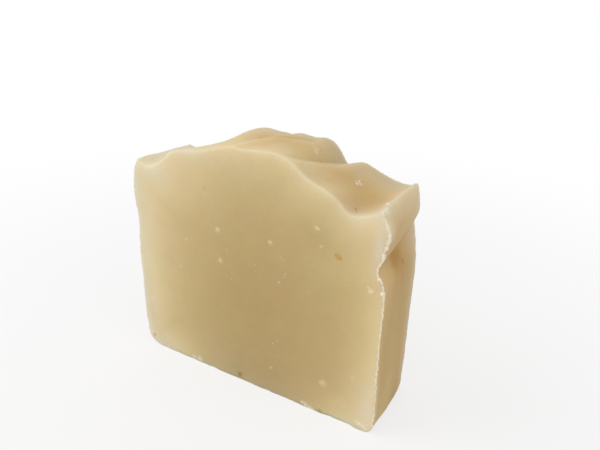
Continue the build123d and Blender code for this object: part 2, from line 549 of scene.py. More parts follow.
@dataclass(frozen=True)
class Dent:
    """A place where the skin stands in or out.

    Attributes:
        place: its middle, in millimetres.
        reach: how far it fades out along X, Y and Z, in millimetres.
        push: how far its middle moves, in millimetres.
    """

    place: Triple
    reach: Triple
    push: Triple


@dataclass(frozen=True)
class Fold:
    """A narrow line pressed into the swirl, or a raised one where its depth is negative.

    Attributes:
        path: its places seen from above, in millimetres, from one end to the other.
        width: how wide it is, in millimetres.
        depth: how deep it is in its middle, in millimetres.
        lowest: the height in millimetres under which it touches nothing.
    """

    path: tuple[tuple[float, float], ...]
    width: float
    depth: float
    lowest: float


@dataclass(frozen=True)
class Eased:
    """A part of the skin that is eased further, because the soap flowed together there.

    Attributes:
        middle: its middle, in millimetres.
        reach: half its size along X, Y and Z, in millimetres.
        rounds: how many times it is eased.
    """

    middle: Triple
    reach: Triple
    rounds: int

    def holds(self, place: Vector) -> bool:
        """Says whether a place, in metres, lies in this part."""
        sizes = zip(place, self.middle, self.reach)
        return sum(((part / MM - centre) / half) ** 2 for part, centre, half in sizes) < 1


@dataclass(frozen=True)
class Fade:
    """A tone that is strongest at an edge and fades out away from it.

    Attributes:
        strength: its share at the edge, cut off at one.
        reach: the way over which it falls to about a third.
    """

    strength: float
    reach: float

    def share(self, gaps: np.ndarray) -> np.ndarray:
        """The tone's share at each of some gaps from the edge, in metres."""
        return np.clip(self.strength * np.exp(-gaps / self.reach), 0, 1)


@dataclass(frozen=True)
class Rise:
    """A share that runs evenly from nought to one.

    Attributes:
        start: the value up to which it is nought.
        reach: how much further it takes to become one.
    """

    start: float
    reach: float

    def share(self, values: np.ndarray) -> np.ndarray:
        """The share at each of some values."""
        return np.clip((values - self.start) / self.reach, 0, 1)


@dataclass(frozen=True)
class Glow:
    """A soft round area of one tone.

    Attributes:
        middle: its middle, in millimetres.
        reach: how far it fades out along X, Y and Z, in millimetres.
        strength: its share in the middle.
    """

    middle: Triple
    reach: Triple
    strength: float

    def share(self, places: np.ndarray) -> np.ndarray:
        """The tone's share at each of some places, in metres."""
        gap = (places - np.array(self.middle) * MM) / (np.array(self.reach) * MM)
        return self.strength * np.exp(-(gap**2).sum(axis=1))


def together(*shares: np.ndarray) -> np.ndarray:
    """Joins the shares of tones of the same kind that lie over each other.

    Args:
        shares: the shares, each with one number for each point.

    Returns:
        The one share that they make.
    """
    rest = np.ones_like(shares[0])
    for share in shares:
        rest = rest * (1 - share)
    return 1 - rest


@dataclass(frozen=True)
class Lie:
    """How the skin's points lie, with one number or row for each.

    Attributes:
        places: where they are, in metres.
        left, right: how far they are from the edges of the left wall and the right wall.
        swirl: how far they are from the swirl's edge on the cuts.
        ridge: how far they are from the thin ridge over the right wall.
        leftness: how far left of the middle they lie, nought to one.
        backness: how far behind the middle they lie, nought to one.
        left_wall, right_wall: how much they belong to the wall.
        upward: how much they face up.
        back: how much they belong to the back of the swirl.
    """

    places: np.ndarray
    left: np.ndarray
    right: np.ndarray
    swirl: np.ndarray
    ridge: np.ndarray
    leftness: np.ndarray
    backness: np.ndarray
    left_wall: np.ndarray
    right_wall: np.ndarray
    upward: np.ndarray
    back: np.ndarray


@dataclass(frozen=True)
class DryingAndPaintedLight:
    """How the soap has dried, with painted light and shade: paler near its edges, nearly white on
    the left and on thin rims.

    Attributes:
        from_left, from_right, from_top: how the dried tone fades from the left wall, the right
            wall and the swirl into the cut faces.
        on_wall: how the dried tone fades from the cuts into the right wall.
        white_from_left, white_from_right, white_from_top: the same as the first three, for the
            nearly white tone.
        veil: a faint white that reaches further down from the swirl.
        white_from_base: a faint white that reaches up from the base.
        white_on_ridge, crust_on_ridge: painted light on the thin ridge over the right wall, where
            light comes through it.
        white_on_back: how far the back of the swirl has paled.
        white_behind: the same on the right wall, beside the back cut.
        crust_on_shelf, white_on_shelf: painted light that lifts the low shelf on the left, which
            lies in shade.
        poured_and_painted_top_light_share: how much of the swirl has the pour's own warmer tone,
            with painted light on the faces that look up.
        damper_back, damper_left: how much less dried the back of the swirl and the left wall are.
        rubbed_wall, rubbed_top: how much less white the right wall and the swirl are than the
            cuts beside them.
        shelf: where the low shelf on the left starts, in shares of the half width.
        shelf_rim, shelf_rim_share: how far the shelf's own rim reaches in, and the least share of
            the shelf's painted light in it.
        top_corner, under_trough, base_corner: paler areas of the front cut, to the right.
        left_corner: painted light that lifts the shaded corner under the swirl on the left to
            cream.
        beside_burr, knee, lip_top: nearly white areas beside the burr, where the ridge meets it
            and along the lip.
        top_left: a faint white on the front cut under the swirl's left end.
        white_foot: the nearly white foot of the front cut's right edge.
        moist, moist_corner: areas of the front cut that have dried less.
        rubbed: a stretch of the front edge where the white has been rubbed off.
        lip: the dried outside of the right wall's lip.
        wall_middle, wall_foot, wall_lobe: drier areas of the right wall.
        foot: painted shade at the foot of both cuts, as it lies on the front one.
        right_half: the slightly warmer right half of the front cut.
        lip_root: painted shade at the foot of the lip, under its overhang.
        bowl, slope: painted shade at the bottom of the trough, and at the bottom of the slope that
            runs down into it.
        crest: painted shade in the fold behind the crest.
        pocket: painted shade in the pocket under the lip.
    """

    # The dried and nearly white fades are partly painted light through the translucent edges, so
    # the fades from the left, where the main lamp stands, are the strongest.
    from_left: Fade = Fade(1.5, 15.5 * MM)
    from_right: Fade = Fade(1.05, 13.0 * MM)
    from_top: Fade = Fade(1.0, 13.0 * MM)
    on_wall: Fade = Fade(0.45, 2.5 * MM)
    white_from_left: Fade = Fade(0.84, 4.4 * MM)
    white_from_right: Fade = Fade(0.25, 2.4 * MM)
    white_from_top: Fade = Fade(0.68, 1.15 * MM)
    veil: Fade = Fade(0.14, 8.0 * MM)
    white_from_base: Fade = Fade(0.16, 3.0 * MM)
    # Painted light on the thin ridge over the right wall, where light comes through it.
    white_on_ridge: Fade = Fade(0.5, 1.2 * MM)
    crust_on_ridge: Fade = Fade(0.62, 2.6 * MM)
    white_on_back: float = 0.22
    white_behind: float = 0.55
    # Painted light that lifts the low shelf on the left out of its shade.
    crust_on_shelf: float = 0.62
    white_on_shelf: float = 0.65
    poured_and_painted_top_light_share: float = 0.75
    damper_back: float = 0.8
    damper_left: float = 0.5
    rubbed_wall: float = 0.85
    rubbed_top: float = 0.5
    shelf: Rise = Rise(0.4, 0.4)
    shelf_rim: float = 1.5 * MM
    shelf_rim_share: float = 0.6
    top_corner: Glow = Glow((41.0, -13.0, 69.0), (7.0, 2.2, 3.6), 0.4)
    under_trough: Glow = Glow((38.5, -13.3, 66.0), (8.0, 1.6, 5.5), 0.25)
    base_corner: Glow = Glow((44.0, -13.3, 5.0), (9.0, 1.6, 14.0), 0.4)
    # Painted light that lifts the shaded corner under the swirl's left end to cream.
    left_corner: Glow = Glow((-41.0, -13.3, 70.0), (6.5, 3.0, 5.0), 0.45)
    beside_burr: Glow = Glow((42.6, -13.3, 62.0), (1.5, 1.2, 6.0), 0.6)
    knee: Glow = Glow((42.3, -11.7, 71.6), (2.1, 2.8, 2.1), 0.9)
    lip_top: Glow = Glow((45.3, -3.0, 72.0), (5.0, 9.0, 3.5), 0.3)
    top_left: Glow = Glow((-24.0, -13.3, 79.0), (12.0, 2.5, 4.2), 0.4)
    white_foot: Glow = Glow((43.6, -13.3, 6.0), (3.6, 1.5, 10.0), 0.6)
    moist: Glow = Glow((23.0, -13.3, 60.0), (9.0, 3.0, 7.0), 0.4)
    moist_corner: Glow = Glow((-37.0, -13.3, 9.0), (9.0, 3.0, 9.0), 0.14)
    rubbed: Glow = Glow((-11.0, -13.3, 80.0), (14.0, 6.0, 5.0), 0.75)
    lip: Glow = Glow((45.5, 6.0, 71.0), (6.0, 18.0, 9.0), 0.72)
    wall_middle: Glow = Glow((45.5, -2.0, 6.0), (6.0, 6.0, 26.0), 0.22)
    wall_foot: Glow = Glow((45.0, -6.0, 2.0), (5.0, 6.0, 8.0), 0.35)
    wall_lobe: Glow = Glow((44.0, -10.5, 50.5), (4.0, 4.0, 5.0), 0.4)
    # Painted shade: the foot of the cuts is darker where less light comes up from the floor.
    foot: Glow = Glow((4.0, -13.3, -2.0), (30.0, 5.0, 16.0), 0.6)
    # Painted shade, in the warmer shade tone: the front cut's right half, the lip's foot, the
    # trough, the slope's foot, the fold behind the crest and the pocket under the lip.
    right_half: Glow = Glow((36.0, -13.3, 45.0), (9.0, 2.0, 18.0), 0.1)
    lip_root: Glow = Glow((45.7, -9.5, 65.5), (4.0, 6.0, 5.0), 0.36)
    bowl: Glow = Glow((34.0, -3.0, 70.0), (9.0, 10.0, 6.0), 0.6)
    slope: Glow = Glow((24.0, 1.5, 73.5), (8.0, 7.0, 4.0), 0.42)
    crest: Glow = Glow((0.0, 3.0, 81.2), (12.0, 8.5, 3.0), 0.5)
    pocket: Glow = Glow((43.4, -1.8, 53.9), (5.0, 7.5, 7.5), 0.88)

    def shares(self, lie: Lie) -> dict[str, np.ndarray]:
        """Works out every share that the finish reads.

        Args:
            lie: how the skin's points lie.

        Returns:
            A share for each point, under each name.
        """
        places = lie.places
        less = 1 - self.moist.share(places) - self.moist_corner.share(places)
        rim_part = np.clip(lie.swirl / self.shelf_rim, self.shelf_rim_share, 1)
        shelf = lie.upward * self.shelf.share(lie.leftness) * rim_part
        # Painted shade at the foot of the cuts.
        painted_foot_shade = self.foot.share(np.abs(places) * (1, -1, 1)) * (1 - lie.right_wall)
        # The pour's own tone, with painted light on the faces that look up.
        poured_and_top_light = self.poured_and_painted_top_light_share * lie.upward * (1 - lie.leftness) * (1 - lie.back)
        # Painted shade in the creases, the trough, the fold behind the crest, the pocket and the
        # lip's foot, with a warmer right half of the front cut.
        shade_and_warm_areas = (self.bowl, self.slope, self.crest, self.pocket, self.lip_root, self.right_half)
        return {
            "liner_share": lie.left_wall + lie.right_wall,
            "painted_foot_shade_share": painted_foot_shade,
            "dried_and_painted_light_share": self._dried(lie, less),
            "poured_and_painted_top_light_share": poured_and_top_light,
            "warm_and_painted_shade_share": together(*(area.share(places) for area in shade_and_warm_areas)),
            "rim_and_painted_light_share": self._rim(lie, less, shelf),
            "crust_and_painted_light_share": self._crust(lie, shelf),
        }

    def _dried(self, lie: Lie, less: np.ndarray) -> np.ndarray:
        """Works out the dried tone, on the cuts and on the right wall: partly dried soap, partly
        painted light through the edges.

        Args:
            lie: how the skin's points lie.
            less: how much less the moist areas have dried.

        Returns:
            The share for each point.
        """
        on_cut = together(
            self.from_left.share(lie.left),
            self.from_right.share(lie.right),
            self.from_top.share(np.minimum(lie.swirl, lie.ridge)),
        )
        on_cut = on_cut * (1 - self.damper_back * lie.back) * (1 - self.damper_left * lie.left_wall)
        drier = (self.lip, self.wall_middle, self.wall_foot, self.wall_lobe)
        on_wall = together(
            self.on_wall.share(lie.right), *(area.share(lie.places) for area in drier)
        )
        return on_cut * (1 - lie.right_wall) * less + on_wall * lie.right_wall

    def _rim(self, lie: Lie, less: np.ndarray, shelf: np.ndarray) -> np.ndarray:
        """Works out the nearly white tone: partly dried soap, partly painted light glowing through
        the edges.

        Args:
            lie: how the skin's points lie.
            less: how much less the moist areas have dried.
            shelf: how much each point belongs to the low shelf on the left.

        Returns:
            The share for each point.
        """
        on_right = 1 - self.rubbed_wall * lie.right_wall
        on_top = 1 - self.rubbed_top * lie.upward * (1 - lie.leftness)
        not_rubbed = 1 - self.rubbed.share(lie.places)
        white = (self.beside_burr, self.knee, self.lip_top, self.white_foot, self.top_left)
        return together(
            self.white_from_left.share(lie.left),
            self.white_from_right.share(lie.right) * on_right,
            self.white_on_ridge.share(lie.ridge),
            self.white_from_top.share(lie.swirl) * not_rubbed * on_top,
            *(area.share(lie.places) for area in white),
            self.white_on_back * lie.back,
            self.white_behind * lie.right_wall * lie.backness**3,
            self.white_on_shelf * shelf,
            self.veil.share(lie.swirl) * less,
            self.white_from_base.share(lie.places[:, 2]) * (1 - lie.right_wall),
        )

    def _crust(self, lie: Lie, shelf: np.ndarray) -> np.ndarray:
        """Works out the pale yellow tone: dried soap, and painted light on the shelf, the ridge and
        the left corner.

        Args:
            lie: how the skin's points lie.
            shelf: how much each point belongs to the low shelf on the left.

        Returns:
            The share for each point.
        """
        pale = (self.top_corner, self.under_trough, self.left_corner, self.base_corner)
        return together(
            self.crust_on_shelf * shelf,
            self.crust_on_ridge.share(lie.ridge) * lie.right_wall,
            *(area.share(lie.places) for area in pale),
        )


@dataclass(frozen=True)
class Wear:
    """How the straight edges are worn.

    Attributes:
        reach: how far in from an edge the wear goes.
        depth: how deep it goes where it is deepest.
        wave, ripple: the lengths of the unevenness along the edges, and of its finer layer.
        ripple_part: how strong the finer layer is.
        lift: how much is worn everywhere, as a share of the depth.
    """

    reach: float = 1.4 * MM
    depth: float = 0.3 * MM
    wave: float = 3.2 * MM
    ripple: float = 1.3 * MM
    ripple_part: float = 0.6
    lift: float = 0.15

    def depth_at(self, place: Vector, gap: float) -> float:
        """Works out how deep a point is worn.

        Args:
            place: where the point is.
            gap: how far it is from the edge, less than the reach.

        Returns:
            The depth.
        """
        fine = self.ripple_part * noise.noise(place / self.ripple)
        uneven = noise.noise(place / self.wave) + fine
        fade = (1 - gap / self.reach) ** 2
        return self.depth * fade * min(1.0, max(0.0, uneven + self.lift))


@dataclass
class SoapBar:
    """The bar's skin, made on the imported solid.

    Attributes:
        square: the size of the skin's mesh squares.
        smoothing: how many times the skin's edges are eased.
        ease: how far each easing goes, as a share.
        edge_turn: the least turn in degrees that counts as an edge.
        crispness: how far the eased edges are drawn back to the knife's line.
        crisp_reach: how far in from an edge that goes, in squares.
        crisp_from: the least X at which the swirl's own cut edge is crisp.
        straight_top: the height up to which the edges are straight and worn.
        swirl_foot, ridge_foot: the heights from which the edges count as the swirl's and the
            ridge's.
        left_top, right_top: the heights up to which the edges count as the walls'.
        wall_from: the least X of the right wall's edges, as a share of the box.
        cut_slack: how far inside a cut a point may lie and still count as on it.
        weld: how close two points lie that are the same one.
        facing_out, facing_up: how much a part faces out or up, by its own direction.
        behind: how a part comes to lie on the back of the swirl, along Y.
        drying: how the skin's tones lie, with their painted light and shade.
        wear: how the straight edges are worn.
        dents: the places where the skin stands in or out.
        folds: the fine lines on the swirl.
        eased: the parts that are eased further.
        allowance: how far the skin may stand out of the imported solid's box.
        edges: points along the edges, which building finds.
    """

    square: float = 0.5 * MM
    smoothing: int = 3
    ease: float = 0.5
    edge_turn: float = 42.0
    crispness: float = 0.8
    crisp_reach: float = 1.6
    crisp_from: float = -25.0 * MM
    straight_top: float = 60.0 * MM
    swirl_foot: float = 65.0 * MM
    ridge_foot: float = 68.0 * MM
    left_top: float = 70.0 * MM
    right_top: float = 71.0 * MM
    wall_from: float = 0.8
    cut_slack: float = 0.1 * MM
    weld: float = 0.001 * MM
    facing_out: Rise = Rise(0.4, 0.4)
    facing_up: Rise = Rise(0.1, 0.3)
    behind: Rise = Rise(3.0 * MM, 9.0 * MM)
    drying: DryingAndPaintedLight = DryingAndPaintedLight()
    wear: Wear = Wear()
    dents: tuple[Dent, ...] = (
        Dent((41.6, -8.2, 72.2), (0.8, 1.1, 1.6), (0.2, 0.0, 0.9)),
        Dent((42.5, 10.5, 73.0), (2.5, 3.0, 2.5), (0.0, 0.0, 0.4)),
        Dent((44.5, 13.0, 73.5), (2.0, 2.5, 2.0), (-0.5, 0.0, -0.15)),
        Dent((43.0, -4.4, 55.2), (1.5, 2.6, 2.6), (-0.55, 0.0, 0.0)),
        Dent((44.0, -0.5, 50.5), (1.5, 1.2, 5.5), (-0.25, 0.0, 0.0)),
        Dent((44.2, -8.4, 51.5), (1.5, 2.4, 5.0), (0.22, 0.0, 0.0)),
        Dent((44.5, 13.3, 50.0), (4.0, 7.0, 7.0), (0.35, 0.0, 0.0)),
        Dent((44.5, 13.3, 31.0), (4.0, 7.0, 14.0), (0.4, 0.0, 0.0)),
        Dent((43.2, -13.3, 53.0), (2.5, 2.5, 2.2), (-0.8, 0.0, 0.0)),
        Dent((44.8, -13.3, 48.0), (2.5, 3.0, 3.0), (-0.45, 0.0, 0.0)),
        Dent((44.2, -13.3, 0.0), (2.2, 3.0, 2.6), (-0.4, -0.25, 0.0)),
        Dent((41.0, -13.3, 0.0), (2.4, 3.0, 2.4), (0.0, -0.6, 0.0)),
        Dent((45.2, -9.0, 0.5), (3.0, 5.0, 3.0), (-0.45, 0.0, 0.15)),
        Dent((44.8, 8.0, 2.0), (3.0, 5.0, 3.0), (0.25, 0.0, -0.15)),
        Dent((44.3, -13.3, 62.0), (2.5, 2.2, 4.5), (-0.45, 0.0, 0.0)),
        Dent((45.3, 10.0, 64.0), (2.5, 5.0, 3.5), (0.35, 0.0, 0.0)),
        Dent((44.5, 13.3, 41.5), (4.0, 7.0, 6.0), (0.25, 0.0, 0.0)),
        Dent((-44.5, -13.3, 9.5), (3.0, 4.0, 4.0), (-0.45, 0.0, 0.0)),
        Dent((25.0, -13.3, 0.0), (5.0, 3.0, 2.5), (0.0, -0.35, 0.0)),
        Dent((-43.0, -13.3, 2.5), (3.0, 3.0, 3.0), (-0.35, -0.1, -0.4)),
        Dent((6.0, -13.3, 0.0), (28.0, 3.0, 3.0), (0.0, -0.35, 0.0)),
        Dent((-45.5, -13.3, 45.0), (4.0, 5.0, 7.0), (-0.35, 0.0, 0.0)),
        Dent((-43.2, -11.5, 68.8), (3.2, 7.0, 3.0), (-0.15, 0.0, 0.55)),
        Dent((-2.6, 12.2, 79.4), (2.6, 3.5, 3.0), (0.0, 0.0, 0.35)),
        Dent((6.3, 10.8, 80.1), (2.2, 3.5, 3.0), (0.0, 0.0, 0.38)),
    )
    folds: tuple[Fold, ...] = (
        Fold(((-3.0, -1.5), (1.2, 0.2), (3.0, 2.4), (6.5, 5.3), (9.0, 7.0)), 1.1, 0.3, 78.0),
        Fold(((9.4, 8.0), (10.4, 6.6), (13.2, 5.4)), 1.2, 0.3, 77.0),
        Fold(((11.2, 8.8), (12.4, 7.4), (15.0, 6.2)), 1.3, -0.22, 77.0),
    )
    eased: tuple[Eased, ...] = (
        Eased((0.0, 0.0, 81.0), (15.0, 11.0, 2.2), 14),
        Eased((-38.0, -13.3, 72.0), (9.0, 4.5, 6.5), 6),
    )
    allowance: float = 0.4 * MM
    edges: list[Vector] = field(default_factory=list)

    def build(self, node: bpy.types.Object) -> bpy.types.Object:
        """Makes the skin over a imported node.

        Args:
            node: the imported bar, which is left as it is.

        Returns:
            The new skin.
        """
        solid = self._merged(node)
        self.edges = [Vector(place) for place in self._dented(np.array(self._edge_points(solid)))]
        skin = self._remeshed(solid)
        self._ease(skin)
        places = self._dented(self._rows(skin, "co"))
        places = self._folded(places)
        places = self._crisp(places)
        places = self._worn(places, self._rows(skin, "normal"))
        low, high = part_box(NODE)
        sideways = np.array((self.allowance, self.allowance, 0.0))
        places = np.clip(places, np.array(low) - sideways, np.array(high) + sideways)
        skin.data.vertices.foreach_set("co", places.astype(np.float32).ravel())
        skin.data.update()
        skin.data.shade_smooth()
        for name, share in self.drying.shares(self._lie(skin, places)).items():
            layer = skin.data.attributes.new(name, "FLOAT", "POINT")
            layer.data.foreach_set("value", np.clip(share, 0, 1).astype(np.float32))
        return skin

    def _merged(self, node: bpy.types.Object) -> bpy.types.Object:
        """Copies the node, with its loose triangles merged into one closed mesh.

        Args:
            node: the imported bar.

        Returns:
            The copy.
        """
        mesh = node.data.copy()
        shape = bmesh.new()
        shape.from_mesh(mesh)
        bmesh.ops.remove_doubles(shape, verts=shape.verts, dist=self.weld)
        shape.to_mesh(mesh)
        shape.free()
        mesh.materials.clear()
        return put_in_scene("soap_skin", mesh)

    def _edge_points(self, solid: bpy.types.Object) -> list[Vector]:
        """Samples the points along every edge that stands out.

        Args:
            solid: the closed copy of the bar.

        Returns:
            The points.
        """
        shape = bmesh.new()
        shape.from_mesh(solid.data)
        least = math.radians(self.edge_turn)
        points = []
        for edge in shape.edges:
            if not edge.is_manifold or edge.calc_face_angle_signed() < least:
                continue
            start, end = (corner.co for corner in edge.verts)
            steps = max(1, round((end - start).length / self.square))
            points += [start.lerp(end, step / steps) for step in range(steps + 1)]
        shape.free()
        return points

    def _remeshed(self, solid: bpy.types.Object) -> bpy.types.Object:
        """Lays even squares over the solid and eases them.

        Args:
            solid: the closed copy of the bar, which is changed.

        Returns:
            The same object.
        """
        remesh = solid.modifiers.new("squares", "REMESH")
        remesh.mode = "VOXEL"
        remesh.voxel_size = self.square
        ease = solid.modifiers.new("ease", "SMOOTH")
        ease.factor = self.ease
        ease.iterations = self.smoothing
        evaluated = solid.evaluated_get(bpy.context.evaluated_depsgraph_get())
        mesh = bpy.data.meshes.new_from_object(evaluated)
        solid.modifiers.clear()
        solid.data = mesh
        return solid

    def _ease(self, skin: bpy.types.Object) -> None:
        """Eases the parts where the soap flowed together.

        Args:
            skin: the bar's skin, which is changed.
        """
        shape = bmesh.new()
        shape.from_mesh(skin.data)
        every_way = {f"use_axis_{axis}": True for axis in "xyz"}
        for part in self.eased:
            inside = [corner for corner in shape.verts if part.holds(corner.co)]
            for _ in range(part.rounds):
                bmesh.ops.smooth_vert(shape, verts=inside, factor=self.ease, **every_way)
        shape.to_mesh(skin.data)
        shape.free()

    def _dented(self, places: np.ndarray) -> np.ndarray:
        """Pushes the skin in or out round each dent.

        Args:
            places: where the points are.

        Returns:
            Their new places.
        """
        for dent in self.dents:
            gap = (places - np.array(dent.place) * MM) / (np.array(dent.reach) * MM)
            share = np.exp(-(gap**2).sum(axis=1))
            places = places + share[:, None] * np.array(dent.push) * MM
        return places

    def _folded(self, places: np.ndarray) -> np.ndarray:
        """Presses each fine fold into the swirl.

        Args:
            places: where the skin's points are.

        Returns:
            Their new places.
        """
        for fold in self.folds:
            path = np.array(fold.path) * MM
            nearest = np.full(len(places), np.inf)
            for start, end in zip(path, path[1:]):
                run = end - start
                share = np.clip(((places[:, :2] - start) @ run) / (run @ run), 0, 1)
                gap = np.linalg.norm(places[:, :2] - (start + share[:, None] * run), axis=1)
                nearest = np.minimum(nearest, gap)
            press = fold.depth * MM * np.exp(-((nearest / (fold.width * MM)) ** 2))
            places[:, 2] -= np.where(places[:, 2] > fold.lowest * MM, press, 0)
        return places

    def _crisp(self, places: np.ndarray) -> np.ndarray:
        """Draws the skin back to the edges that the knife and the mould left.

        Args:
            places: where the skin's points are.

        Returns:
            Their new places.
        """
        cut = self._cut_line()
        sharp = [
            edge
            for edge in self.edges
            if edge.z < self.straight_top or (abs(edge.y) > cut and edge.x > self.crisp_from)
        ]
        nearest, gaps = self._nearest(places, sharp)
        share = self.crispness * np.clip(1 - gaps / (self.crisp_reach * self.square), 0, 1)
        return places + share[:, None] * (nearest - places)

    def _worn(self, places: np.ndarray, normals: np.ndarray) -> np.ndarray:
        """Wears the straight edges unevenly.

        Args:
            places: where the skin's points are.
            normals: which way the skin faces there.

        Returns:
            Their new places.
        """
        gaps = self._gaps(places, [edge for edge in self.edges if edge.z < self.straight_top])
        for index in np.where(gaps < self.wear.reach)[0]:
            depth = self.wear.depth_at(Vector(places[index]), gaps[index])
            places[index] -= normals[index] * depth
        return places

    @staticmethod
    def _rows(skin: bpy.types.Object, name: str) -> np.ndarray:
        """Reads what the skin holds for each point.

        Args:
            skin: the bar's skin.
            name: co for the places, or normal for the ways that they face.

        Returns:
            One row for each point.
        """
        rows = np.empty(len(skin.data.vertices) * 3, np.float32)
        skin.data.vertices.foreach_get(name, rows)
        return rows.reshape(-1, 3).astype(float)

    def _cut_line(self) -> float:
        """How far from the middle, along Y, a point has to lie to be on a cut."""
        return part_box(NODE)[1].y - self.cut_slack

    def _lie(self, skin: bpy.types.Object, places: np.ndarray) -> Lie:
        """Works out how the skin's points lie.

        Args:
            skin: the bar's skin.
            places: where its points are.

        Returns:
            How they lie.
        """
        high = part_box(NODE)[1]
        corner = self.wall_from * high.x
        out, _, up = self._rows(skin, "normal").T
        across, along, _ = places.T
        wall = self.facing_out.share(np.abs(out)) * (np.abs(across) > corner)
        upward = self.facing_up.share(up)
        right_wall = wall * (across > 0)
        cut = self._cut_line()
        on_cuts = [edge for edge in self.edges if abs(edge.y) > cut]
        left = [edge for edge in self.edges if edge.x < -corner and edge.z < self.left_top]
        right = [edge for edge in on_cuts if edge.x > corner and edge.z < self.right_top]
        swirl = [edge for edge in on_cuts if edge.z > self.swirl_foot]
        ridge = [edge for edge in self.edges if edge.z > self.ridge_foot and edge.x > corner]
        return Lie(
            places=places,
            left=self._gaps(places, left),
            right=self._gaps(places, right),
            swirl=self._gaps(places, swirl),
            ridge=self._gaps(places, ridge),
            leftness=np.clip(-across / high.x, 0, 1),
            backness=np.clip(along / high.y, 0, 1),
            left_wall=wall - right_wall,
            right_wall=right_wall,
            upward=upward,
            back=upward * self.behind.share(along),
        )

    @staticmethod
    def _nearest(places: np.ndarray, edge: list[Vector]) -> tuple[np.ndarray, np.ndarray]:
        """Finds the point of an edge that is nearest to each place.

        Args:
            places: the places, one row each.
            edge: the points along the edge.

        Returns:
            The nearest points, one row each, and how far off they are.
        """
        tree = kdtree.KDTree(len(edge))
        for index, point in enumerate(edge):
            tree.insert(point, index)
        tree.balance()
        found = [tree.find(place) for place in places]
        points = np.array([tuple(point) for point, _, _ in found])
        return points, np.array([gap for _, _, gap in found])

    def _gaps(self, places: np.ndarray, edge: list[Vector]) -> np.ndarray:
        """The way from each place to the nearest point of an edge."""
        return self._nearest(places, edge)[1]


class GrainKind(Enum):
    """What a grain is. The value is its depth as a share of its width, and its whiteness."""

    FAINT = (0.12, 0.0)
    INLAID = (0.16, 0.5)
    CRUMB = (0.75, 1.0)

    def __init__(self, flatness: float, whiteness: float) -> None:
        """Names the two parts of the value."""
        self.flatness = flatness
        self.whiteness = whiteness


@dataclass(frozen=True)
class Grain:
    """One grain of dry soap.

    Attributes:
        place: its middle, in millimetres.
        width: its width, in millimetres.
        kind: how it lies in the soap.
    """

    place: Triple
    width: float
    kind: GrainKind = GrainKind.INLAID


def front_grain(
    across: float, up: float, width: float, kind: GrainKind = GrainKind.INLAID
) -> Grain:
    """Places a grain in the front cut.

    Args:
        across: its X, in millimetres.
        up: its height, in millimetres.
        width: its width, in millimetres.
        kind: how it lies in the soap.

    Returns:
        The grain.
    """
    return Grain((across, FRONT_CUT_MM, up), width, kind)


class GeometryTree:
    """A Geometry Nodes tree with named inputs, and the way to run it once on an object."""

    def __init__(self, name: str) -> None:
        """Makes an empty tree with a geometry input and output.

        Args:
            name: the tree's name.
        """
        self.tree = bpy.data.node_groups.new(name, "GeometryNodeTree")
        self.nodes = Nodes(self.tree)
        for way in ("INPUT", "OUTPUT"):
            self.tree.interface.new_socket("Geometry", in_out=way, socket_type="NodeSocketGeometry")
        self.start = self.tree.nodes.new("NodeGroupInput")
        self.identifiers: dict[str, str] = {}

    def size(self, name: str, kind: str = "Float") -> Socket:
        """Adds a named input.

        Args:
            name: the input's name.
            kind: what it takes: Float, Int or Material.

        Returns:
            Its socket inside the tree.
        """
        socket_type = "NodeSocket" + kind
        socket = self.tree.interface.new_socket(name, in_out="INPUT", socket_type=socket_type)
        self.identifiers[name] = socket.identifier
        return self.start.outputs[name]

    def finish(self, geometry: Socket, material: Socket) -> None:
        """Ends the tree: what was made is real mesh, smooth and in its material.

        Args:
            geometry: the socket of what was made.
            material: the socket of its material.
        """
        real = self.nodes.add("GeometryNodeRealizeInstances", Geometry=geometry).outputs[0]
        smooth = self.nodes.add("GeometryNodeSetShadeSmooth", Geometry=real).outputs[0]
        dressed = self.nodes.add("GeometryNodeSetMaterial", Geometry=smooth, Material=material)
        end = self.tree.nodes.new("NodeGroupOutput")
        self.tree.links.new(dressed.outputs[0], end.inputs[0])

    def run(
        self, carrier: bpy.types.Object, name: str, values: dict[str, object]
    ) -> bpy.types.Object:
        """Runs the tree on an object and keeps the result as a plain mesh.

        Args:
            carrier: the object that the tree reads.
            name: the new piece's name.
            values: a value for each named input.

        Returns:
            The new piece.
        """
        modifier = carrier.modifiers.new(name, "NODES")
        modifier.node_group = self.tree
        for key, value in values.items():
            modifier[self.identifiers[key]] = value
        carrier.update_tag()
        evaluated = carrier.evaluated_get(bpy.context.evaluated_depsgraph_get())
        mesh = bpy.data.meshes.new_from_object(evaluated)
        carrier.modifiers.remove(modifier)
        return put_in_scene(name, mesh)


